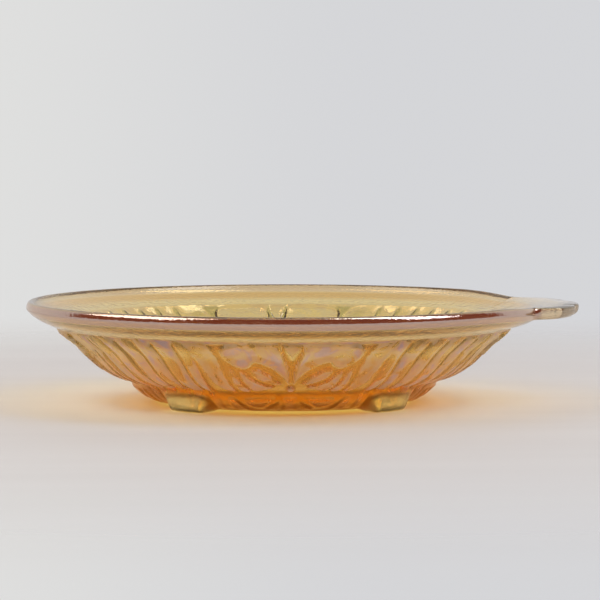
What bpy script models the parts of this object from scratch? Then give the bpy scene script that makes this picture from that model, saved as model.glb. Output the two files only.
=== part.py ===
"""Footed candy dish of pressed, iridescent glass: a shallow round bowl with one flat tab handle.

The dish is a single pressing. Its zones are modelled as separate solids that sit together with a
hairline seam between them: the bowl with its fluted, flower-moulded outside, the plain rim flange,
the tab handle, and four short feet.

Metres, +Z up. The origin is on the surface that the feet stand on, at the centre of the dish's
bounding box. +X points along the handle. Profiles are pairs of (radius, height) about the bowl's axis.
"""

import math

import bmesh
import bpy
from mathutils import Vector

MM = 0.001

# Driving dimensions, in millimetres.
RIM_RADIUS = 82.5
HANDLE_REACH = 13.0          # how far the tab stands out beyond the rim
DISH_HEIGHT = 32.6
RIM_EDGE = 4.0               # height of the upright rounded edge
SEAM = 0.3                   # gap between neighbouring zones
BOWL_AXIS_X = -HANDLE_REACH / 2
BASE_HEIGHT = 0.8            # underside of the base above the surface that it stands on

FLOWERS = 4                  # one flower facing each quarter, with a foot between each two
FLUTES = 60                  # flat flutes round the whole wall, with a groove between each two
FLUTE_DEPTH = 0.7
STEPS_PER_FLUTE = 3
BOWL_STEPS = FLUTES * STEPS_PER_FLUTE
RIM_STEPS = 72

# The rounded edge of the rim as (radius, depth below the top), from its inner foot over the crown.
RIM_CURVE = [(79.2, 1.25), (79.7, 0.5), (80.8, 0.0), (81.8, 0.4), (82.2, 1.1), (RIM_RADIUS, 2.2),
             (81.9, 3.0), (80.9, 4.1)]

# The seam between the rim flange and the bowl runs square across the glass.
SEAM_OUTER = (73.2, 24.5)
SEAM_INNER = (70.7, 27.2)

# The outside of the wall in two tiers, from the seam down to the edge of the base.
UPPER_TIER = [(72.1, 23.3), (70.5, 21.8), (68.2, 20.1), (65.9, 18.2), (64.0, 16.2), (62.2, 14.4),
              (60.2, 12.5), (58.0, 10.8), (55.6, 9.4), (53.2, 8.3)]
LOWER_TIER = [(50.2, 7.5), (48.9, 6.6), (47.8, 5.0), (45.9, 3.2), (43.6, 1.7), (40.6, BASE_HEIGHT)]
BASE_UNDERSIDE = [(34.0, BASE_HEIGHT), (32.0, 1.5)]

# The smooth inside, from the centre of the floor up to the seam.
FLOOR_HEIGHT = 5.0
INSIDE = [(30.0, FLOOR_HEIGHT), (40.0, 5.9), (46.0, 8.2), (52.0, 11.9), (57.0, 15.9), (60.4, 19.4),
          (63.4, 22.6), (67.2, 25.4)]

# The moulded flower, flat on the wall: the middle of each petal as (across, height), its half
# length, half width, lean from upright in degrees, and how far it stands out of the wall.
PETALS = [
    (0.0, 22.2, 2.6, 2.4, 0.0, 0.9),          # bud
    (-10.6, 20.2, 8.6, 3.4, 66.0, 1.2),       # broad upper petals
    (10.6, 20.2, 8.6, 3.4, -66.0, 1.2),
    (-7.4, 14.6, 5.0, 2.0, 50.0, 1.1),        # slim inner petals
    (7.4, 14.6, 5.0, 2.0, -50.0, 1.1),
    (-15.6, 12.6, 4.4, 2.2, 10.0, 0.9),       # leaves
    (15.6, 12.6, 4.4, 2.2, -10.0, 0.9),
    (0.0, 10.4, 2.0, 2.2, 0.0, 1.0),          # heart of the flower
    (0.0, 4.4, 3.0, 4.6, 0.0, 0.9),           # shell under the flower
    (-11.0, 5.4, 5.6, 1.9, 84.0, 0.9),        # lower petals
    (11.0, 5.4, 5.6, 1.9, -84.0, 0.9),
    (-19.6, 4.6, 2.8, 2.6, 40.0, 0.8),        # outer lobes
    (19.6, 4.6, 2.8, 2.6, -40.0, 0.8),
]
FLOWER_RADIUS = 60.0         # radius at which a petal's place across is measured
PETAL_EDGE = 2.4             # how steeply a petal rises at its edge
GROOVE_SHARE = 0.8           # how much of a flute its groove takes, from 0 to 1
MOULD_REACH = 0.5            # a vertex this near to a row of the outside is part of it

# The tab handle, in plan.
HANDLE_TOP = 31.4
HANDLE_THICK = 4.4
HANDLE_ARC_CENTRE = 50.0     # centre of the arc of the handle's end, from the bowl's axis
HANDLE_HALF_WIDTH = 27.0
HANDLE_NOTCH = 1.6           # depth of the two dents in the end
HANDLE_NOTCH_AT = 10.5       # their distance either side of the middle
HANDLE_NOTCH_WIDTH = 2.6
HANDLE_ROUND = 1.5
HANDLE_STEPS = 24
HANDLE_ROOT = 70.5           # where the blank starts, before the rim's room is cut from it
RIM_ROOM_BOTTOM = 20.0       # heights between which that room reaches
RIM_ROOM_TOP = 37.6

# The feet.
FOOT_OUTER = 49.4            # outermost radius
FOOT_LONG = 9.4              # along the radius
FOOT_WIDE = 15.0
FOOT_TALL = 6.0
FOOT_ROUND = 2.8             # radius of the upright edges
FOOT_TAPER = 0.88            # size of the foot's sole against its top
FOOT_NAMES = {48: "foot_back_right", 132: "foot_back_left", 228: "foot_front_left", 312: "foot_front_right"}


def clear_scene():
    for item in list(bpy.data.objects):
        bpy.data.objects.remove(item, do_unlink=True)


def new_collection(name):
    collection = bpy.data.collections.new(name)
    bpy.context.scene.collection.children.link(collection)
    return collection


def glass(name, colour, roughness):
    material = bpy.data.materials.new(name)
    material.use_nodes = True
    shader = material.node_tree.nodes["Principled BSDF"]
    shader.inputs["Base Color"].default_value = (*colour, 1.0)
    shader.inputs["Roughness"].default_value = roughness
    shader.inputs["Metallic"].default_value = 0.0
    shader.inputs["Transmission Weight"].default_value = 0.8
    shader.inputs["IOR"].default_value = 1.5
    material.diffuse_color = (*colour, 1.0)
    return material


def new_object(name, mesh, collection, material=None):
    item = bpy.data.objects.new(name, mesh)
    collection.objects.link(item)
    if material is not None:
        mesh.materials.append(material)
    return item


def as_mesh(item):
    """Turns an object with modifiers into one plain mesh in place, and gives the object back."""
    bpy.context.view_layer.update()
    graph = bpy.context.evaluated_depsgraph_get()
    mesh = bpy.data.meshes.new_from_object(item.evaluated_get(graph))
    mesh.name = item.name
    item.modifiers.clear()
    item.data = mesh
    return item


def turned(name, profile, closed, steps, collection, material=None):
    """A profile in millimetres, down its outer side, turned about the bowl's axis."""
    mesh = bpy.data.meshes.new(name)
    points = [(radius * MM, 0.0, height * MM) for radius, height in profile]
    edges = [(i, i + 1) for i in range(len(points) - 1)]
    if closed:
        edges.append((len(points) - 1, 0))
    mesh.from_pydata(points, edges, [])
    item = new_object(name, mesh, collection, material)
    item.location.x = BOWL_AXIS_X * MM
    screw = item.modifiers.new("turn", "SCREW")
    screw.axis = "Z"
    screw.angle = math.tau
    screw.steps = steps
    screw.render_steps = steps
    screw.use_merge_vertices = True
    screw.merge_threshold = 0.00001
    screw.use_smooth_shade = True
    return item


def shade(item, sharp_degrees=40):
    item.data.shade_smooth()
    item.data.set_sharp_from_angle(angle=math.radians(sharp_degrees))


def seam_points(offset):
    """The outer and inner end of the seam, moved up the flange by offset."""
    flange = Vector((RIM_RADIUS, DISH_HEIGHT - RIM_EDGE)) - Vector(SEAM_OUTER)
    along = flange.normalized() * offset
    return [(point[0] + along.x, point[1] + along.y) for point in (SEAM_OUTER, SEAM_INNER)]


def smooth(value):
    value = min(max(value, 0.0), 1.0)
    return value * value * (3.0 - 2.0 * value)


def petal_height(across, height, petal):
    middle, level, half_long, half_wide, lean, stand = petal
    turn = math.radians(lean)
    right, up = across - middle, height - level
    along = up * math.cos(turn) + right * math.sin(turn)
    aside = right * math.cos(turn) - up * math.sin(turn)
    inside = 1.0 - (along / half_long) ** 2 - (aside / half_wide) ** 2
    return stand * smooth(inside * PETAL_EDGE)


def flower_height(degrees, height):
    """How far the nearest flower stands out of the wall at this bearing and height."""
    spacing = 360.0 / FLOWERS
    nearest = (degrees + spacing / 2) % spacing - spacing / 2
    across = math.radians(nearest) * FLOWER_RADIUS
    return max(petal_height(across, height, petal) for petal in PETALS)


def wall_relief(degrees, height):
    """Outward displacement of the wall in millimetres: flutes cut in, flowers standing out."""
    from_groove = abs(math.sin(math.radians(degrees * FLUTES / 2)))
    flute = FLUTE_DEPTH * (1.0 - smooth(from_groove / GROOVE_SHARE))
    fade = smooth((SEAM_OUTER[1] - height) / 1.0) * smooth((height - BASE_HEIGHT) / 1.2)
    flower = flower_height(degrees, height)
    return fade * (flower - flute * (1.0 - smooth(flower / 0.4)))


def wall_normal(wall, index):
    """The outward direction, in the plane of the profile, at one of its points."""
    before, after = wall[max(index - 1, 0)], wall[min(index + 1, len(wall) - 1)]
    along = Vector((after[0] - before[0], after[1] - before[1])).normalized()
    return Vector((-along.y, along.x))


def mould_wall(item, wall):
    """Presses the flutes and flowers into the outside of the turned bowl."""
    rows = {round(height, 3): (radius, wall_normal(wall, i)) for i, (radius, height) in enumerate(wall)}
    for vertex in item.data.vertices:
        radius = math.hypot(vertex.co.x, vertex.co.y) / MM
        height = vertex.co.z / MM
        row = rows.get(round(height, 3))
        if row is None or abs(radius - row[0]) > MOULD_REACH:
            continue
        bearing = math.atan2(vertex.co.y, vertex.co.x)
        push = wall_relief(math.degrees(bearing), height) * MM
        vertex.co.x += push * row[1].x * math.cos(bearing)
        vertex.co.y += push * row[1].x * math.sin(bearing)
        vertex.co.z += push * row[1].y


def make_bowl(collection, material):
    outer_seam, inner_seam = seam_points(-SEAM / 2)
    wall = [outer_seam] + UPPER_TIER + LOWER_TIER
    inside = [(0.0, FLOOR_HEIGHT)] + INSIDE + [inner_seam]
    profile = inside + wall + BASE_UNDERSIDE + [(0.0, BASE_UNDERSIDE[-1][1])]
    bowl = as_mesh(turned("bowl", profile, False, BOWL_STEPS, collection, material))
    mould_wall(bowl, wall)
    shade(bowl, 25)
    return bowl


def make_rim_flange(collection, material):
    outer_seam, inner_seam = seam_points(SEAM / 2)
    profile = [(radius, DISH_HEIGHT - depth) for radius, depth in RIM_CURVE]
    profile += [outer_seam, inner_seam]
    flange = turned("rim_flange", profile, True, RIM_STEPS, collection, material)
    shade(as_mesh(flange), 40)
    return flange


def handle_outline():
    """The plan of the tab, from the bowl's axis: two straight sides and a gently dented round end."""
    end_radius = RIM_RADIUS + HANDLE_REACH - HANDLE_ARC_CENTRE
    half_angle = math.asin(HANDLE_HALF_WIDTH / end_radius)
    outline = [(HANDLE_ROOT, -HANDLE_HALF_WIDTH)]
    for step in range(HANDLE_STEPS + 1):
        angle = half_angle * (2.0 * step / HANDLE_STEPS - 1.0)
        aside = end_radius * math.sin(angle)
        dent = HANDLE_NOTCH * math.exp(-((abs(aside) - HANDLE_NOTCH_AT) / HANDLE_NOTCH_WIDTH) ** 2)
        reach = end_radius - dent
        outline.append((HANDLE_ARC_CENTRE + reach * math.cos(angle), reach * math.sin(angle)))
    outline.append((HANDLE_ROOT, HANDLE_HALF_WIDTH))
    return outline


def make_handle(collection, cutters, material):
    curve = bpy.data.curves.new("handle_plan", "CURVE")
    curve.dimensions = "2D"
    curve.fill_mode = "BOTH"
    curve.extrude = HANDLE_THICK / 2 * MM
    spline = curve.splines.new("POLY")
    outline = handle_outline()
    spline.points.add(len(outline) - 1)
    for point, (x, y) in zip(spline.points, outline):
        point.co = (x * MM, y * MM, 0.0, 1.0)
    spline.use_cyclic_u = True
    blank = new_object("handle_blank", curve, collection)
    bpy.context.view_layer.update()
    graph = bpy.context.evaluated_depsgraph_get()
    mesh = bpy.data.meshes.new_from_object(blank.evaluated_get(graph))
    bpy.data.objects.remove(blank, do_unlink=True)
    weld = bmesh.new()
    weld.from_mesh(mesh)
    bmesh.ops.remove_doubles(weld, verts=weld.verts, dist=0.00001)
    weld.to_mesh(mesh)
    weld.free()

    handle = new_object("tab_handle", mesh, collection, material)
    handle.location = (BOWL_AXIS_X * MM, 0.0, (HANDLE_TOP - HANDLE_THICK / 2) * MM)
    bevel = handle.modifiers.new("rounded_edges", "BEVEL")
    bevel.width = HANDLE_ROUND * MM
    bevel.segments = 2
    bevel.limit_method = "ANGLE"
    bevel.angle_limit = math.radians(60)

    reach = RIM_RADIUS + SEAM
    room = [(0.0, RIM_ROOM_TOP), (reach, RIM_ROOM_TOP), (reach, RIM_ROOM_BOTTOM), (0.0, RIM_ROOM_BOTTOM)]
    cutter = turned("rim_room", room, False, RIM_STEPS, cutters)
    cutter.hide_render = True
    cutter.display_type = "WIRE"
    trim = handle.modifiers.new("rim_room", "BOOLEAN")
    trim.operation = "DIFFERENCE"
    trim.object = cutter
    shade(as_mesh(handle), 40)
    return handle


def make_foot_cutter(cutters):
    """The room that the bowl takes up over the feet, one seam larger than the bowl."""
    wall = UPPER_TIER[-2:] + LOWER_TIER
    grown = []
    for i, (radius, height) in enumerate(wall):
        normal = wall_normal(wall, i)
        grown.append((radius + normal.x * SEAM, height + normal.y * SEAM))
    top = FOOT_TALL * 2
    profile = [(0.0, top), (grown[0][0], top)] + grown + [(0.0, BASE_HEIGHT - SEAM)]
    cutter = turned("bowl_room", profile, False, BOWL_STEPS, cutters)
    cutter.hide_render = True
    cutter.display_type = "WIRE"
    return cutter


def make_foot(name, degrees, cutter, collection, material):
    body = bmesh.new()
    bmesh.ops.create_cube(body, size=1.0)
    middle = FOOT_OUTER - FOOT_LONG / 2
    for vertex in body.verts:
        taper = FOOT_TAPER if vertex.co.z < 0 else 1.0
        vertex.co.x = (vertex.co.x * FOOT_LONG * taper + middle) * MM
        vertex.co.y *= FOOT_WIDE * taper * MM
        vertex.co.z = (vertex.co.z + 0.5) * FOOT_TALL * MM
    upright = [edge for edge in body.edges
               if abs(edge.verts[0].co.z - edge.verts[1].co.z) > FOOT_TALL / 2 * MM]
    bmesh.ops.bevel(body, geom=upright, offset=FOOT_ROUND * MM, segments=4, profile=0.5,
                    affect="EDGES")
    mesh = bpy.data.meshes.new(name)
    body.to_mesh(mesh)
    body.free()
    foot = new_object(name, mesh, collection, material)
    foot.location.x = BOWL_AXIS_X * MM
    foot.rotation_euler.z = math.radians(degrees)
    trim = foot.modifiers.new("bowl_room", "BOOLEAN")
    trim.operation = "DIFFERENCE"
    trim.object = cutter
    shade(as_mesh(foot), 40)
    return foot


def build():
    clear_scene()
    parts = new_collection("candy_dish")
    cutters = new_collection("cutters")
    make_bowl(parts, glass("bowl_glass", (0.78, 0.52, 0.20), 0.12))
    make_rim_flange(parts, glass("rim_glass", (0.72, 0.50, 0.36), 0.06))
    make_handle(parts, cutters, glass("handle_glass", (0.72, 0.52, 0.38), 0.08))
    foot_cutter = make_foot_cutter(cutters)
    foot_glass = glass("foot_glass", (0.80, 0.50, 0.18), 0.10)
    for degrees, name in FOOT_NAMES.items():
        make_foot(name, degrees, foot_cutter, parts, foot_glass)


build()
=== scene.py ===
import math

import bpy
import numpy as np
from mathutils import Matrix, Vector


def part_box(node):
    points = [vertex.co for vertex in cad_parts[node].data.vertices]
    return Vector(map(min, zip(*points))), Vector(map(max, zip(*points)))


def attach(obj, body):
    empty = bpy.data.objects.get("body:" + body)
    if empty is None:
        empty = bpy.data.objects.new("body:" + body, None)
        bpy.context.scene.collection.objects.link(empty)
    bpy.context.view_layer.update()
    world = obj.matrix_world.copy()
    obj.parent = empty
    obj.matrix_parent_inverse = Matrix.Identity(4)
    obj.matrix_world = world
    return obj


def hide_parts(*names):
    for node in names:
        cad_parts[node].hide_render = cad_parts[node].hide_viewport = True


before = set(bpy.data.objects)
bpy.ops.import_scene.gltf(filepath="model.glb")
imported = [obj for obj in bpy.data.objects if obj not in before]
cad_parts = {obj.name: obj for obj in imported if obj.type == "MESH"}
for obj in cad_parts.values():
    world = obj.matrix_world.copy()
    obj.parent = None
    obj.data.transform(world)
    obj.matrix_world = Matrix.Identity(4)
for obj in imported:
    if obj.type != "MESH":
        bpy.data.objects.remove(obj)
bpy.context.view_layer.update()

# Sizes of the dish are in millimetres, and bearings in degrees round the bowl's axis from the middle of
# the tab handle. A pair that says where something changes is its start, then how much further it ends.
MM = 0.001

rim_low, rim_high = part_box("rim_flange")
tab_low, tab_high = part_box("tab_handle")
AXIS_X = (rim_low.x + rim_high.x) / 2 / MM
RIM_RADIUS = (rim_high.x - rim_low.x) / 2 / MM
TALL = rim_high.z / MM
TAB_REACH = (tab_high.x - rim_high.x) / MM
TAB_TOP = tab_high.z / MM
TAB_BOTTOM = tab_low.z / MM
BASE_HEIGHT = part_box("bowl")[0].z / MM

# Points round a ring of the mesh: fine where the glass is moulded, coarse where it is plain.
FINE = 900
COARSE = 225

# Rows of rings in each band of the skin.
INSIDE_ROWS = 34
RIM_ROWS = 17
COLLAR_ROWS = 7
BASE_ROWS = 14
MOULDED_ROW = 0.62           # spacing of the moulded wall's rows

# The profile as (radius, height), from the floor inside, over the rim and down to the base's middle.
# The rim's points are (radius, depth under the top).
RIM_BOTTOM = TALL - 4.0      # lower end of the rim's upright face
RIM_CURVE = [(79.4, 1.45), (79.7, 0.95), (80.0, 0.5), (80.4, 0.16), (80.9, 0.03), (81.4, 0.14), (81.8, 0.4),
             (82.1, 0.85), (82.3, 1.5), (82.44, 2.2), (82.36, 2.5), (82.0, 2.95), (81.5, 3.45), (80.9, 4.1)]
RIM = [(radius, TALL - depth) for radius, depth in RIM_CURVE]
COLLAR_END = (73.2, 24.5)
TIER_STEP = (51.4, 7.7)
BASE_EDGE = (40.8, BASE_HEIGHT)
INSIDE = [(4.0, 4.9), (16.0, 4.9), (30.0, 5.0), (40.0, 5.9), (46.0, 8.2), (52.0, 11.9), (57.0, 15.9),
          (60.4, 19.4), (63.4, 22.6), (67.2, 25.3), (72.4, 27.9), (76.6, 29.9), RIM[0]]
COLLAR = [RIM[-1], (77.8, 26.5), COLLAR_END]
UPPER_TIER = [COLLAR_END, (72.1, 23.3), (70.5, 21.8), (68.2, 20.1), (65.9, 18.2), (64.0, 16.2), (62.2, 14.4),
              (60.2, 12.5), (58.0, 10.8), (55.6, 9.4), (53.4, 8.4), TIER_STEP]
LOWER_TIER = [TIER_STEP, (50.0, 7.0), (49.0, 6.0), (47.8, 4.7), (45.9, 3.1), (43.6, 1.7), BASE_EDGE]
FOOT = [TIER_STEP, (50.9, 6.8), (50.5, 5.4), (50.1, 3.4), (49.5, 1.5), (48.6, 0.4), (47.2, 0.0), (44.5, 0.0),
        (42.4, 0.05), (41.3, 0.35), BASE_EDGE]
BASE = [BASE_EDGE, (38.6, 0.9), (36.6, 1.5), (34.0, 1.8), (24.0, 1.8), (12.0, 1.8), (4.0, 1.8)]

# The flutes.
FLUTES = 60
GROOVE_DEPTH = 0.23
GROOVE_WIDTH = 0.55
FLUTE_CROWN = 0.26           # how far a flute's middle stands above its edges

# The flowers.
FLOWERS = 4
FLOWER_SIDE = (25.6, 1.6)    # degrees from a flower's middle, where the flutes take over from it
DEGREE = 1.12                # millimetres across the wall for one degree round it, at the flower
FLOWER_SCALE = 0.75
GROUND_DEPTH = 0.50          # how far the ground behind the flower lies under the drawn profile
PETAL_EDGE = (-0.15, 0.75)   # where a petal rises, from its outline inwards
PETAL_HOLLOW = (0.7, 2.6)    # where it sinks again to its hollow
LIP_PLACE = 0.55             # distance of a petal's raised lip from its outline
LIP_WIDTH = 0.4
LIP_REACH = 0.2              # how far outside the outline the lip ends

# The relief fades out towards the collar and the base, and is weaker on the lower tier.
FADE_UNDER_COLLAR = 2.8
FADE_OVER_BASE = 1.6
LOWER_TIER_FADE = (28.0, 3.0)      # distance down the wall
LOWER_TIER_LOSS = 0.4        # share of the relief that the lower tier is without

# The feet.
FOOT_BEARINGS = (48, 132, 228, 312)
FOOT_SIDE = (6.4, 6.0)       # degrees from a foot's middle, where it falls back to the wall
FOOT_SWELL = 2.4             # how much further out a foot's middle is than its sides

# The tab handle.
TAB_ARC_CENTRE = 50.0        # centre of the arc of the tab's end, from the bowl's axis
TAB_INSET = 0.05             # how far the tab's end stays inside its box
TAB_DENT = 1.1               # depth of the two dents in the end
TAB_DENT_AT = 10.0           # their distance either side of the middle
TAB_DENT_WIDTH = 2.4
TAB_SIDE = (16.6, 3.6)       # degrees from the tab's middle, where its side falls back to the rim
TAB_RISE = 4.0               # how far beyond the rim the tab reaches its full shape
TAB_TAPER = 2.0              # how far the tab's underside is set in from its top edge
TAB_DIP = 0.45               # how far the tab's top dips where it meets the bowl's inside
TAB_TAIL = 3                 # the rim's last rows, over which the tab's underside runs back to the collar

# The rim comes down to the tab's top, which is lower.
DROOP_END = (14.0, 26.0)     # degrees from the tab's middle, where the rim regains its height
DROOP_INSIDE = (68.0, 11.2)  # radius inside, where the glass starts to follow the rim down

# The fired film, and where it is lost, as shares of the whole film.
FILM_RELIEF = (-0.34, 0.3)   # relief at which it starts to show
FILM_DOWN = (20.0, 16.0)     # distance down the wall at which it starts to thin out
FILM_RIM = (0.36, 0.1)       # share of the way over the rim at which it starts
LOST_LOW = 0.75
LOST_ON_LIPS = 0.9
LOST_ON_TAB = 0.55
STREAKS_LOST = 0.85          # share of the streaks that a flower is without
COLLAR_FILM = 0.8
COLLAR_SHADE_BAND = 0.8            # strength of the painted shade, in the grooves' colour, in the band next to the rim
BAND_END = (2.0, 2.0)        # rows of the collar over which the band gives way to the film

GROOVE_SHADE_SHOWN = (0.10, 0.37)  # depth of the relief at which the painted shade of the grooves starts to show
FOOT_PALENESS = 0.82         # share of its tier's deeper colour that a foot is without
FOOT_START = (1, 5)          # rows under the tier step over which the foot's glass becomes plain


# ---------------------------------------------------------------- curves

def smooth(x):
    """Goes softly from 0 to 1 as x does."""
    x = np.clip(x, 0.0, 1.0)
    return x * x * (3 - 2 * x)


def rise(x, pair):
    """Goes softly from 0 where the pair starts to 1 where it ends."""
    start, reach = pair
    return smooth((x - start) / reach)


def catmull(points, per_span=10, closed=False):
    """A smooth curve through the points."""
    p = np.array(points, float)
    if closed:
        p = np.vstack([p[-1], p, p[0], p[1]])
    else:
        p = np.vstack([2 * p[0] - p[1], p, 2 * p[-1] - p[-2]])
    t = np.linspace(0, 1, per_span, endpoint=False)[:, None]
    spans = []
    for a, b, c, d in zip(p, p[1:], p[2:], p[3:]):
        spans.append(0.5 * (2 * b + (c - a) * t + (2 * a - 5 * b + 4 * c - d) * t**2
                            + (3 * b - a - 3 * c + d) * t**3))
    return np.vstack([*spans, p[-2:-1]])


def lengths_along(points):
    """The distance from the first point to each point."""
    return np.concatenate([[0], np.cumsum(np.hypot(*np.diff(points, axis=0).T))])


def rows_along(points, count):
    """A smooth curve through the points, as a first row and count more, evenly spaced."""
    curve = catmull(points)
    length = lengths_along(curve)
    at = np.linspace(0, length[-1], count + 1)
    return np.column_stack([np.interp(at, length, curve[:, 0]), np.interp(at, length, curve[:, 1])])


def moulded_rows(tier):
    """How many rows one tier of the wall takes."""
    return round(lengths_along(catmull(tier))[-1] / MOULDED_ROW)


def outward(rows):
    """The direction out of the glass at each row of a wall that is drawn from the top down."""
    along = np.gradient(rows, axis=0)
    along /= np.linalg.norm(along, axis=1)[:, None]
    return np.column_stack([-along[:, 1], along[:, 0]])


# ---------------------------------------------------------------- the moulded flower

# Outlines of the flower's left-hand pieces as (degrees from its middle, millimetres down from the
# collar). Each is mirrored. Then how far the piece stands out, its lip, and how hollow it is.
FLOWER = [
    ([(-3.2, 1.1), (-8, 0.5), (-13, 0.8), (-17, 2.2), (-18.3, 6.0), (-16.8, 10.4), (-13.4, 12.9),
      (-11.2, 12.0), (-10, 10.2), (-8, 10.8), (-4.8, 13.4), (-2.4, 17.0), (-0.5, 21.4), (-0.7, 14.5),
      (-1.3, 10.6), (-2.3, 5.4)], 1.25, 0.35, 0.5),
    ([(-11.4, 13.9), (-9.6, 13.0), (-7.4, 14.8), (-4.6, 18.0), (-2.6, 21.0), (-5.4, 20.8), (-8.6, 18.8),
      (-10.8, 16.6)], 1.0, 0.2, 0.25),
    ([(-14.8, 15.0), (-12.8, 15.2), (-11.2, 18.2), (-8.0, 21.2), (-4.6, 22.8), (-7.6, 25.0),
      (-11.6, 26.6), (-13.8, 21.6)], 0.7, 0.2, 0.3),
    ([(-17.6, 13.4), (-15.9, 14.6), (-14.9, 19.6), (-12.8, 26.0), (-14.2, 27.8), (-16.4, 27.0),
      (-17.5, 21.0)], 0.55, 0.2, 0.3),
    ([(-27.0, 1.4), (-23.0, 0.9), (-20.6, 2.0), (-19.4, 7.0), (-18.9, 13.0), (-18.3, 21.0),
      (-17.9, 28.0), (-20.4, 29.2), (-23.6, 22.0), (-25.8, 11.0)], 0.45, 0.1, 0.2),
    ([(-15.9, 31.6), (-10.0, 31.0), (-5.4, 31.0), (-5.6, 33.0), (-8.4, 35.4), (-11.0, 37.0),
      (-14.8, 36.2), (-16.8, 34.0)], 0.8, 0.2, 0.35),
    ([(-4.2, 33.6), (-3.6, 33.4), (-4.4, 37.0), (-5.4, 41.2), (-8.8, 41.2), (-9.6, 38.4), (-6.6, 36.0)],
     0.55, 0.15, 0.2),
    ([(-23.2, 32.0), (-20.6, 31.4), (-18.8, 34.0), (-16.2, 38.2), (-12.0, 40.2), (-13.6, 41.8),
      (-19.0, 41.6), (-22.6, 37.6)], 0.7, 0.2, 0.25),
]
FLOWER_MIDDLE = [
    ([(-2.4, 2.0), (0, 0.9), (2.4, 2.0), (1.4, 6.0), (0, 9.4), (-1.4, 6.0)], 0.55, 0.15, 0.3),
    ([(-1.5, 24.0), (0, 22.6), (1.5, 24.0), (1.2, 26.6), (0, 27.6), (-1.2, 26.6)], 0.9, 0.1, 0.1),
    ([(-2.6, 31.2), (0, 30.8), (2.6, 31.2), (2.2, 34.6), (3.6, 40.8), (0, 41.8), (-3.6, 40.8),
      (-2.2, 34.6)], 0.75, 0.2, 0.3),
]


def inside_and_gap(across, down, outline):
    """Whether each place is inside a closed outline, and how far it is from the outline."""
    path = catmull(outline, 5, closed=True)
    gap = np.full(across.shape, 1e9)
    inside = np.zeros(across.shape, bool)
    for a, b in zip(path, path[1:]):
        way = b - a
        share = ((across - a[0]) * way[0] + (down - a[1]) * way[1]) / max(way @ way, 1e-9)
        share = np.clip(share, 0, 1)
        gap = np.minimum(gap, np.hypot(across - a[0] - share * way[0], down - a[1] - share * way[1]))
        if a[1] != b[1]:
            crosses = (a[1] > down) != (b[1] > down)
            inside ^= crosses & (across < a[0] + way[0] * (down - a[1]) / way[1])
    return inside, gap


def flower_piece(across, down, outline, stand, lip, hollow):
    """The relief of one piece, and 1 along its raised lip."""
    outline = [(degrees * DEGREE, depth) for degrees, depth in outline]
    inside, gap = inside_and_gap(across, down, outline)
    within = np.where(inside, gap, -gap)
    face = stand * rise(within, PETAL_EDGE) * (1 - hollow * rise(within, PETAL_HOLLOW))
    edge = np.exp(-((within - LIP_PLACE) / LIP_WIDTH) ** 2) * (within > -LIP_REACH)
    return face + lip * edge, edge


def flower_relief(degrees, down):
    """How far the flower stands out of the wall, and 1 along its lips. degrees is from its middle."""
    across = degrees * DEGREE
    raised = np.zeros(across.shape)
    edges = np.zeros(across.shape)
    for side, pieces in ((-np.abs(across), FLOWER), (across, FLOWER_MIDDLE)):
        for outline, stand, lip, hollow in pieces:
            piece, edge = flower_piece(side, down, outline, stand, lip, hollow)
            raised = np.maximum(raised, piece)
            edges = np.maximum(edges, edge)
    return raised, edges


def flute_relief(degrees, radius):
    """Rounded flutes with a fine narrow channel between each two."""
    pitch = 360 / FLUTES
    from_groove = np.abs((degrees + pitch / 2) % pitch - pitch / 2)
    gap = np.radians(from_groove) * radius
    half = math.radians(pitch / 2) * radius
    return -GROOVE_DEPTH * np.exp(-(gap / GROOVE_WIDTH) ** 2) - FLUTE_CROWN * (1 - gap / half) ** 2


def wall_relief(bearings, rows, down):
    """For each row and bearing of the wall: its relief, 1 along the flower's lips, and 1 at a flower."""
    quarter = 360 / FLOWERS
    degrees = (bearings + quarter / 2) % quarter - quarter / 2
    grid_degrees, grid_down = np.meshgrid(degrees, down)
    grid_radius = np.meshgrid(degrees, rows[:, 0])[1]
    flower, edges = flower_relief(grid_degrees, grid_down)
    near_flower = 1 - rise(np.abs(grid_degrees), FLOWER_SIDE)
    flutes = flute_relief(grid_degrees, grid_radius) * (1 - near_flower)
    relief = (FLOWER_SCALE * flower - GROUND_DEPTH) * near_flower + flutes
    fade = smooth(grid_down / FADE_UNDER_COLLAR) * smooth((down[-1] - grid_down) / FADE_OVER_BASE)
    fade = fade * (1 - LOWER_TIER_LOSS * rise(grid_down, LOWER_TIER_FADE))
    return relief * fade, edges * near_flower, near_flower


# ---------------------------------------------------------------- the fired film

def streaks(bearings, down):
    """The film's uneven bands, which run down the flutes."""
    turn = np.radians(bearings)[None, :]
    fall = down[:, None]
    wave = np.sin(31 * turn + 1.7 * np.sin(7 * turn) + 0.22 * fall)
    wave = wave + 0.9 * np.sin(53 * turn - 0.13 * fall + 2.0) + 0.4 * np.sin(11 * turn + 0.3 * fall)
    return smooth((wave + 1.1) / 1.5)


def wall_lustre(relief, edges, near_flower, bearings, down):
    """How much film shows: most on what stands out and high on the wall, and streaky on the flutes."""
    upper = 1 - LOST_LOW * rise(down, FILM_DOWN)
    even = rise(relief, FILM_RELIEF) * (1 - LOST_ON_LIPS * edges) * upper[:, None]
    return even * (1 - (1 - streaks(bearings, down)) * (1 - STREAKS_LOST * near_flower))


# ---------------------------------------------------------------- the mesh

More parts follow.
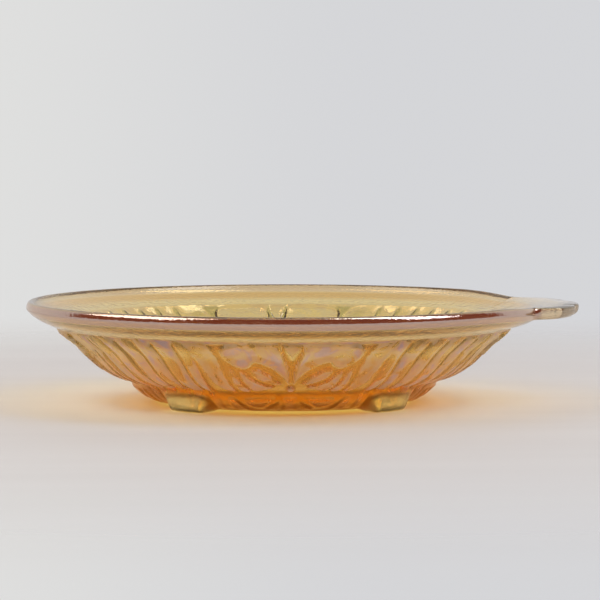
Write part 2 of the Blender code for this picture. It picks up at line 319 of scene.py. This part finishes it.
def tab_share(bearings):
    """0 on the plain rim and 1 on the tab, and how far the outline stands beyond the rim."""
    end_radius = RIM_RADIUS + TAB_REACH - TAB_INSET - TAB_ARC_CENTRE
    angle = np.radians(bearings)
    half_chord = np.maximum(end_radius**2 - (TAB_ARC_CENTRE * np.sin(angle)) ** 2, 0.0)
    reach = TAB_ARC_CENTRE * np.cos(angle) + np.sqrt(half_chord)
    aside = RIM_RADIUS * np.sin(angle)
    dent = TAB_DENT * np.exp(-((np.abs(aside) - TAB_DENT_AT) / TAB_DENT_WIDTH) ** 2)
    beyond = np.maximum(reach - dent - RIM_RADIUS, 0.0) * (1 - rise(np.abs(bearings), TAB_SIDE))
    return smooth(beyond / TAB_RISE), beyond


def rim_rings(bearings):
    """The rim's rows, from its inner foot over the crown, drawn out into the tab on the handle's side."""
    plain = rows_along(RIM, RIM_ROWS)
    share, beyond = tab_share(bearings)
    droop = (TALL - TAB_TOP) * (1 - rise(np.abs(bearings), DROOP_END))
    crown = int(np.argmax(plain[:, 1]))
    top = plain[crown, 1]
    rings = []
    for i, (radius, height) in enumerate(plain):
        if i <= crown:
            # The rows up to the crown make the tab's flat top.
            out = i / crown * 0.5
            drop = 0.0
            level = TAB_TOP - TAB_DIP * math.exp(-(i / crown * 3) ** 2)
        else:
            # The rows after it go down the tab's end and in under it.
            out = 1.0
            drop = (top - height) / (top - RIM_BOTTOM)
            level = TAB_TOP - drop * (TAB_TOP - TAB_BOTTOM)
        tail = rise(i, (RIM_ROWS - TAB_TAIL, TAB_TAIL))
        ring_radius = radius + beyond * (out * (1 - tail)) - TAB_TAPER * drop * share * (1 - tail)
        ring_height = height - droop
        ring_height = ring_height + share * (max(level, TAB_BOTTOM) - ring_height) * (1 - tail)
        rings.append((ring_radius, ring_height))
    return rings


def foot_share(bearings):
    """1 on a foot and 0 between the feet, and how far a foot's rounded face is set in."""
    away = np.full(bearings.shape, 180.0)
    for middle in FOOT_BEARINGS:
        away = np.minimum(away, np.abs((bearings - middle + 180) % 360 - 180))
    return 1 - rise(away, FOOT_SIDE), FOOT_SWELL * (away / sum(FOOT_SIDE)) ** 2


class Skin:
    """Stacks rings of points into one skin, with a material for each band and values for each point.

    lustre says how much fired film shows, depth how far down the wall a point is, and groove how much
    painted shade lies on a point, in the grooves, on the sunk ground and under the rim, each from 0 to 1.
    """

    def __init__(self):
        self.points = []
        self.faces = []
        self.slots = []
        self.values = {"lustre": [], "depth": [], "groove_shade": []}
        self.last = None

    def ring(self, bearings, radius, height, slot, lustre=0.0, depth=0.0, groove_shade=0.0):
        angle = np.radians(bearings)
        radius = np.broadcast_to(radius, angle.shape)
        height = np.broadcast_to(height, angle.shape)
        start = len(self.points)
        for x, y, z in zip(AXIS_X + radius * np.cos(angle), radius * np.sin(angle), height):
            self.points.append((x * MM, y * MM, z * MM))
        for name, value in (("lustre", lustre), ("depth", depth), ("groove_shade", groove_shade)):
            self.values[name] += list(np.broadcast_to(value, angle.shape))
        ring = list(range(start, start + len(bearings)))
        if self.last is not None:
            self.join(self.last, ring, slot)
        self.last = ring

    def join(self, above, below, slot):
        """Joins two rings, of equal counts or with one a whole multiple of the other."""
        many, few = max(len(above), len(below)), min(len(above), len(below))
        step = many // few
        half = step // 2
        for i in range(few):
            j = (i + 1) % few
            if step == 1:
                faces = [(above[i], below[i], below[j], above[j])]
            elif len(above) > len(below):
                fan = [above[(i * step + k) % many] for k in range(step + 1)]
                faces = [(fan[k], below[i], fan[k + 1]) for k in range(half)]
                faces.append((fan[half], below[i], below[j]))
                faces += [(fan[k], below[j], fan[k + 1]) for k in range(half, step)]
            else:
                fan = [below[(i * step + k) % many] for k in range(step + 1)]
                faces = [(above[i], fan[k], fan[k + 1]) for k in range(half)]
                faces.append((above[i], fan[half], above[j]))
                faces += [(above[j], fan[k], fan[k + 1]) for k in range(half, step)]
            self.faces += faces
            self.slots += [slot] * len(faces)

    def pole(self, height, slot, closing):
        """A single point on the bowl's axis that starts or closes the skin."""
        index = len(self.points)
        self.points.append((AXIS_X * MM, 0.0, height * MM))
        for name, value in (("lustre", 0.0), ("depth", 1.0), ("groove_shade", 0.0)):
            self.values[name].append(value)
        for a, b in zip(self.last, self.last[1:] + self.last[:1]):
            self.faces.append((a, index, b) if closing else (index, a, b))
            self.slots.append(slot)

    def mesh(self, name, materials):
        mesh = bpy.data.meshes.new(name)
        mesh.from_pydata(self.points, [], self.faces)
        for material in materials:
            mesh.materials.append(material)
        mesh.polygons.foreach_set("material_index", self.slots)
        for value_name, values in self.values.items():
            mesh.attributes.new(value_name, "FLOAT", "POINT").data.foreach_set("value", values)
        mesh.update()
        mesh.shade_smooth()
        return mesh


INSIDE_GLASS, RIM_GLASS, COLLAR_GLASS, WALL_GLASS, LOWER_GLASS, BASE_GLASS = range(6)


def add_inside(skin, bearings):
    """From the centre of the floor up to the foot of the rim."""
    inside = rows_along(INSIDE, INSIDE_ROWS)
    droop = rim_rings(bearings)[0][1] - inside[-1, 1]
    for i, (radius, height) in enumerate(inside[:-1]):
        sag = droop * rise(radius, DROOP_INSIDE)
        skin.ring(bearings, radius, height + sag, INSIDE_GLASS)
        if i == 0:
            skin.pole(inside[0, 1], INSIDE_GLASS, closing=False)


def add_rim(skin, bearings):
    """The rounded edge and the tab. The film covers its outer side and is thinner on the tab."""
    rings = rim_rings(bearings)
    on_tab = tab_share(bearings)[0]
    for i, (radius, height) in enumerate(rings):
        fired = rise(i / RIM_ROWS, FILM_RIM)
        skin.ring(bearings, radius, height, RIM_GLASS, lustre=fired * (1 - LOST_ON_TAB * on_tab))


def add_collar(skin, bearings):
    """The underside of the flange. A band next to the rim takes the grooves' darker colour, as painted shade
    under the rim.
    """
    collar = rows_along(COLLAR, COLLAR_ROWS)[1:]
    droop = rim_rings(bearings)[-1][1] - RIM[-1][1]
    for i, (radius, height) in enumerate(collar):
        sag = droop * (1 - (i + 1) / len(collar))
        # Painted shade under the rim, in the grooves' darker colour.
        band = COLLAR_SHADE_BAND * (1 - rise(i, BAND_END))
        film = COLLAR_FILM * (1 - band)
        skin.ring(bearings, radius, height + sag, COLLAR_GLASS, lustre=film, groove_shade=band)


def add_wall(skin, bearings):
    """The moulded wall in two tiers, with the feet drawn out of the lower one."""
    upper_rows = moulded_rows(UPPER_TIER)
    lower_rows = moulded_rows(LOWER_TIER)
    wall = np.vstack([rows_along(UPPER_TIER, upper_rows), rows_along(LOWER_TIER, lower_rows)[1:]])
    normals = outward(wall)
    down = lengths_along(wall)
    relief, edges, near_flower = wall_relief(bearings, wall, down)
    lustre = wall_lustre(relief, edges, near_flower, bearings, down)
    # Painted shade: the deeper the relief lies, in the grooves and on the ground behind the flower, the
    # darker the colour it is given.
    groove_shade = rise(-relief, GROOVE_SHADE_SHOWN)
    feet = rows_along(FOOT, lower_rows)
    share, set_in = foot_share(bearings)
    for i in range(1, len(wall)):
        radius = wall[i, 0] + normals[i, 0] * relief[i]
        height = wall[i, 1] + normals[i, 1] * relief[i]
        slot = WALL_GLASS
        if i > upper_rows:
            foot = feet[i - upper_rows]
            radius = radius + (foot[0] - set_in - radius) * share
            height = height + (foot[1] - height) * share
            slot = LOWER_GLASS
        # A foot is plain glass, paler than the tier that it stands under.
        on_foot = share * rise(i - upper_rows, FOOT_START)
        skin.ring(bearings, radius, np.maximum(height, 0.0), slot,
                  lustre=lustre[i] * (1 - on_foot),
                  depth=down[i] / down[-1] * (1 - FOOT_PALENESS * on_foot),
                  groove_shade=groove_shade[i] * (1 - on_foot))


def add_base(skin, bearings):
    base = rows_along(BASE, BASE_ROWS)[1:]
    for radius, height in base:
        skin.ring(bearings, radius, height, BASE_GLASS, depth=1.0)
    skin.pole(base[-1, 1], BASE_GLASS, closing=True)


def make_dish(materials):
    fine = np.arange(FINE) * 360 / FINE
    fine = np.where(fine > 180, fine - 360, fine)
    coarse = fine[:: FINE // COARSE]
    skin = Skin()
    add_inside(skin, coarse)
    add_rim(skin, fine)
    add_collar(skin, fine)
    add_wall(skin, fine)
    add_base(skin, coarse)
    dish = bpy.data.objects.new("pressed_dish", skin.mesh("pressed_dish", materials))
    bpy.context.scene.collection.objects.link(dish)
    return dish


# ---------------------------------------------------------------- nodes

class Graph:
    """A node tree, with a short way to add each kind of node that is used here."""

    def __init__(self, owner):
        owner.use_nodes = True
        self.nodes = owner.node_tree.nodes
        self.links = owner.node_tree.links

    def feed(self, socket, source):
        """Sets a socket from another node's output, a colour or a number."""
        if isinstance(source, bpy.types.NodeSocket):
            self.links.new(source, socket)
        elif socket.type == "RGBA":
            socket.default_value = (*source, 1)
        else:
            socket.default_value = source

    def place(self, kind):
        return self.nodes.new("ShaderNodeTexCoord").outputs[kind]

    def attribute(self, name):
        node = self.nodes.new("ShaderNodeAttribute")
        node.attribute_name = name
        return node.outputs["Fac"]

    def ramp(self, source, low, high, to_low=0.0, to_high=1.0, kind="LINEAR"):
        node = self.nodes.new("ShaderNodeMapRange")
        node.interpolation_type = kind
        node.inputs["From Min"].default_value = low
        node.inputs["From Max"].default_value = high
        node.inputs["To Min"].default_value = to_low
        node.inputs["To Max"].default_value = to_high
        self.links.new(source, node.inputs["Value"])
        return node.outputs["Result"]

    def math(self, operation, *sources):
        node = self.nodes.new("ShaderNodeMath")
        node.operation = operation
        for socket, source in zip(node.inputs, sources):
            self.feed(socket, source)
        return node.outputs["Value"]

    def times(self, a, b):
        return self.math("MULTIPLY", a, b)

    def noise(self, place, scale, detail, distortion=0.0):
        node = self.nodes.new("ShaderNodeTexNoise")
        node.inputs["Scale"].default_value = scale
        node.inputs["Detail"].default_value = detail
        node.inputs["Distortion"].default_value = distortion
        self.links.new(place, node.inputs["Vector"])
        return node.outputs["Fac"]

    def blend(self, share, a, b, kind="RGBA"):
        """a where share is 0 and b where it is 1."""
        node = self.nodes.new("ShaderNodeMix")
        node.data_type = kind
        self.feed(node.inputs["Factor"], share)
        self.feed(node.inputs["A"], a)
        self.feed(node.inputs["B"], b)
        return node.outputs["Result"]

    def clear(self, colour=(1, 1, 1)):
        node = self.nodes.new("ShaderNodeBsdfTransparent")
        node.inputs["Color"].default_value = (*colour, 1)
        return node.outputs["BSDF"]

    def show(self, share, shader, other):
        """Shows shader where share is 0 and other where it is 1."""
        mix = self.nodes.new("ShaderNodeMixShader")
        self.links.new(share, mix.inputs[0])
        self.links.new(shader, mix.inputs[1])
        self.links.new(other, mix.inputs[2])
        self.links.new(mix.outputs["Shader"], self.nodes["Material Output"].inputs["Surface"])


# ---------------------------------------------------------------- glass

SEEN_FROM_BEHIND = 0.15      # how much of the film and the cloudiness shows from behind


def glass_colour(graph, outside, backfacing, satin, depth, gold, rose, deep, groove_shade_colour, olive):
    """Gold, deeper down the wall, with rose where the film is and painted shade in the grooves and on the
    sunk ground.
    """
    if deep:
        gold = graph.blend(graph.ramp(depth, 0.1, 0.68), gold, deep)
    colour = graph.blend(graph.times(satin, outside), gold, rose)
    # Painted shade: the grooves and the sunk ground take a darker colour, broader and duller when seen from
    # behind.
    if groove_shade_colour:
        groove_shade = graph.attribute("groove_shade")
        narrow = graph.ramp(groove_shade, 0.45, 1.0)
        broad = graph.ramp(groove_shade, 0.0, 0.5) if olive else groove_shade
        drawn = graph.blend(backfacing, narrow, broad, kind="FLOAT")
        shade = graph.blend(backfacing, groove_shade_colour, olive) if olive else groove_shade_colour
        colour = graph.blend(drawn, colour, shade)
    return colour


def glass(name, gold, rose, roughness, *, patchy=False, deep=None, groove_shade_colour=None, olive=None, film=None,
          milky=0.0, haze=0.3, metal=0.0, edge=(1, 1, 1), shine=0.5, cast=(0.80, 0.73, 0.65)):
    """Amber glass under a fired film, which follows the mesh's lustre values.

    gold is the plain glass, rose the film and deep the foot of the wall. line is painted shade, the darker
    colour of the grooves and the sunk ground from the front, and olive the same painted shade from behind.
    roughness and film (the film's thickness in nanometres) give two values, for no lustre and for full
    lustre. milky is how far the glass clouds, haze how cloudy the top of the wall is, edge and shine its
    reflections, and cast the light that passes through it.
    """
    material = bpy.data.materials.new(name)
    graph = Graph(material)
    shader = graph.nodes["Principled BSDF"]
    shader.inputs["Transmission Weight"].default_value = 1.0
    shader.inputs["IOR"].default_value = 1.5
    shader.inputs["Specular Tint"].default_value = (*edge, 1)
    shader.inputs["Specular IOR Level"].default_value = shine

    place = graph.place("Object")
    lustre = graph.attribute("lustre")
    depth = graph.attribute("depth")
    backfacing = graph.nodes.new("ShaderNodeNewGeometry").outputs["Backfacing"]
    outside = graph.ramp(backfacing, 0.0, 1.0, 1.0, SEEN_FROM_BEHIND)
    satin = lustre
    if patchy:
        satin = graph.times(lustre, graph.ramp(graph.noise(place, 130.0, 5.0, 1.5), 0.36, 0.58, 0.1, 1.0))

    colour = glass_colour(graph, outside, backfacing, satin, depth, gold, rose, deep, groove_shade_colour, olive)
    graph.links.new(colour, shader.inputs["Base Color"])

    # The upper wall is smoother from behind. The rest is smoother above the wall and on the feet.
    rough = graph.math("MULTIPLY_ADD", satin, roughness[1] - roughness[0], roughness[0])
    smoother = outside if olive else graph.ramp(depth, 0.1, 0.6, 0.45, 1.0)
    graph.links.new(graph.times(rough, smoother), shader.inputs["Roughness"])

    if film:
        shader.inputs["Thin Film IOR"].default_value = 2.1
        graph.links.new(graph.ramp(satin, 0.0, 1.0, *film), shader.inputs["Thin Film Thickness"])
    if milky:
        cloudy = graph.math("MAXIMUM", satin, graph.ramp(depth, 0.05, 0.7, haze, 1.0))
        clarity = graph.ramp(graph.times(cloudy, outside), 0.0, 1.0, 1.0, 1.0 - milky)
        graph.links.new(clarity, shader.inputs["Transmission Weight"])
    if metal:
        shown = graph.times(lustre, outside)
        graph.links.new(graph.ramp(shown, 0.0, 1.0, 0.0, metal), shader.inputs["Metallic"])

    bump = graph.nodes.new("ShaderNodeBump")
    bump.inputs["Strength"].default_value = 0.35
    bump.inputs["Distance"].default_value = 0.0003
    graph.links.new(graph.noise(place, 700.0, 3.0), bump.inputs["Height"])
    graph.links.new(bump.outputs["Normal"], shader.inputs["Normal"])

    # Lamps reach the floor through the glass as tinted light.
    shadow_ray = graph.nodes.new("ShaderNodeLightPath").outputs["Is Shadow Ray"]
    graph.show(shadow_ray, shader.outputs["BSDF"], graph.clear(cast))
    return material


def make_glasses():
    """One glass for each band of the skin, in the order of the slots."""
    low_cast = (0.50, 0.26, 0.06)
    # The grooves' orange colours, and the dull one seen from behind, are painted shade.
    return [
        glass("inside_glass", gold=(0.96, 0.85, 0.48), rose=(0.96, 0.85, 0.48), roughness=(0.03, 0.03),
              edge=(1, 0.92, 0.75)),
        glass("rim_glass", gold=(0.97, 0.81, 0.48), rose=(0.71, 0.53, 0.46), roughness=(0.03, 0.05),
              metal=0.75, milky=0.2, edge=(1, 0.95, 0.85)),
        glass("collar_glass", gold=(0.99, 0.74, 0.26), rose=(1.0, 0.79, 0.42), roughness=(0.16, 0.30),
              groove_shade_colour=(0.90, 0.42, 0.07), milky=0.45, edge=(1, 0.85, 0.6)),
        glass("wall_glass", gold=(0.96, 0.62, 0.14), rose=(0.77, 0.55, 0.60), roughness=(0.26, 0.40),
              patchy=True, deep=(0.82, 0.23, 0.01), groove_shade_colour=(0.90, 0.42, 0.06), olive=(0.46, 0.35, 0.06),
              film=(0, 155), milky=0.36, edge=(1, 0.7, 0.45), shine=0.4, cast=(0.73, 0.60, 0.45)),
        glass("lower_glass", gold=(1.0, 0.68, 0.12), rose=(0.88, 0.32, 0.10), roughness=(0.24, 0.36),
              patchy=True, deep=(0.88, 0.26, 0.006), groove_shade_colour=(0.94, 0.42, 0.03), milky=0.3, haze=0.0,
              edge=(1, 0.6, 0.3), shine=0.25, cast=low_cast),
        glass("base_glass", gold=(0.94, 0.46, 0.03), rose=(0.94, 0.46, 0.03), roughness=(0.2, 0.2),
              edge=(1, 0.6, 0.2), shine=0.3, cast=low_cast),
    ]


# ---------------------------------------------------------------- surroundings

FLOOR_RADIUS = 1.2
FLOOR_FADE = (0.08, 0.42)    # metres from the middle over which the floor fades into the room
CLOTH = ((0.665, 0.675, 0.645), (0.735, 0.755, 0.725))
CLOTH_STRETCH = (5.0, 40.0, 1.0)

PALE_WALL = (0.66, 0.65, 0.66)
CEILING = (0.40, 0.38, 0.38)
DARK_WALL = (0.22, 0.035, 0.006)
BACKDROP_LEFT = (0.745, 0.745, 0.735)
BACKDROP_RIGHT = (0.665, 0.67, 0.69)

LIGHT_DISTANCE = 1.4

CAMERA_TURN = math.radians(-2.4)   # the dish stands turned a little from square to the camera
CAMERA_PITCH = math.radians(3.756)
CAMERA_DISTANCE = 0.900
CAMERA_HEIGHT = 0.09145
CAMERA_ASIDE = 0.0051
CAMERA_LENS = 168.7


def make_floor():
    bpy.ops.mesh.primitive_circle_add(vertices=96, radius=FLOOR_RADIUS, fill_type="NGON")
    floor = bpy.context.object
    floor.name = "floor"
    material = bpy.data.materials.new("pale_floor")
    graph = Graph(material)
    shader = graph.nodes["Principled BSDF"]
    shader.inputs["Roughness"].default_value = 0.6
    shader.inputs["Specular IOR Level"].default_value = 0.25
    place = graph.place("Object")
    stretch = graph.nodes.new("ShaderNodeMapping")
    stretch.inputs["Scale"].default_value = CLOTH_STRETCH
    graph.links.new(place, stretch.inputs["Vector"])
    cloth = graph.noise(stretch.outputs["Vector"], 1.0, 4.0)
    graph.links.new(graph.blend(cloth, *CLOTH), shader.inputs["Base Color"])

    # The floor fades into the room, so that there is no edge to see.
    reach = graph.nodes.new("ShaderNodeVectorMath")
    reach.operation = "LENGTH"
    graph.links.new(place, reach.inputs[0])
    fade = graph.ramp(reach.outputs["Value"], *FLOOR_FADE, kind="SMOOTHSTEP")
    graph.show(fade, shader.outputs["BSDF"], graph.clear())
    floor.data.materials.append(material)


def make_world():
    """A pale room with a dark wall on the camera's side. The camera itself sees a pale backdrop."""
    world = bpy.data.worlds.new("room")
    bpy.context.scene.world = world
    graph = Graph(world)
    split = graph.nodes.new("ShaderNodeSeparateXYZ")
    graph.links.new(graph.place("Generated"), split.inputs["Vector"])

    def band(axis, low, high, to_low=0.0, to_high=1.0):
        return graph.ramp(split.outputs[axis], low, high, to_low, to_high, kind="SMOOTHSTEP")

    near_side = band("Y", 0.28, 0.44, 1.0, 0.0)
    above_table = band("Z", 0.02, 0.10)
    below_ceiling = band("Z", 0.85, 0.97, 1.0, 0.0)
    dark = graph.times(graph.times(near_side, above_table), below_ceiling)
    room = graph.blend(band("Z", 0.55, 0.8), PALE_WALL, CEILING)
    room = graph.blend(dark, room, DARK_WALL)
    backdrop = graph.blend(band("X", -0.10, 0.08), BACKDROP_LEFT, BACKDROP_RIGHT)
    camera_ray = graph.nodes.new("ShaderNodeLightPath").outputs["Is Camera Ray"]
    graph.links.new(graph.blend(camera_ray, room, backdrop), graph.nodes["Background"].inputs["Color"])


def soft_light(name, bearing, elevation, width, height, power, colour):
    """An area light aimed at the dish. bearing is counted from the camera, to the right."""
    data = bpy.data.lights.new(name, "AREA")
    data.shape = "RECTANGLE"
    data.size = width
    data.size_y = height
    data.energy = power
    data.color = colour
    light = bpy.data.objects.new(name, data)
    bpy.context.scene.collection.objects.link(light)
    angle = math.radians(bearing)
    tilt = math.radians(elevation)
    x, y, z = (math.sin(angle) * math.cos(tilt), -math.cos(angle) * math.cos(tilt), math.sin(tilt))
    light.location = (x * LIGHT_DISTANCE, y * LIGHT_DISTANCE, z * LIGHT_DISTANCE)
    light.rotation_euler = (math.pi / 2 - tilt, 0, angle)
    light.visible_camera = False


def make_lights():
    soft_light("left_softbox", bearing=-80, elevation=45, width=1.15, height=0.8, power=8.8,
               colour=(1.0, 0.96, 0.90))
    soft_light("right_window", bearing=70, elevation=50, width=0.6, height=1.2, power=11.5,
               colour=(0.82, 0.91, 1.0))


def make_camera():
    """Stands well back and a little above the rim."""
    data = bpy.data.cameras.new("camera")
    data.sensor_width = 36.0
    data.lens = CAMERA_LENS
    data.clip_start = 0.05
    data.clip_end = 60.0
    camera = bpy.data.objects.new("camera", data)
    bpy.context.scene.collection.objects.link(camera)
    right = (math.cos(CAMERA_TURN), math.sin(CAMERA_TURN))
    ahead = (-math.sin(CAMERA_TURN), math.cos(CAMERA_TURN))
    camera.location = (AXIS_X * MM - ahead[0] * CAMERA_DISTANCE + right[0] * CAMERA_ASIDE,
                       -ahead[1] * CAMERA_DISTANCE + right[1] * CAMERA_ASIDE, CAMERA_HEIGHT)
    camera.rotation_euler = (math.pi / 2 - CAMERA_PITCH, 0, CAMERA_TURN)
    bpy.context.scene.camera = camera


def main():
    bpy.context.scene.view_settings.view_transform = "Standard"
    make_camera()
    make_world()
    make_lights()
    make_floor()
    dish = make_dish(make_glasses())
    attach(dish, "root")
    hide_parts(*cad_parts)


main()
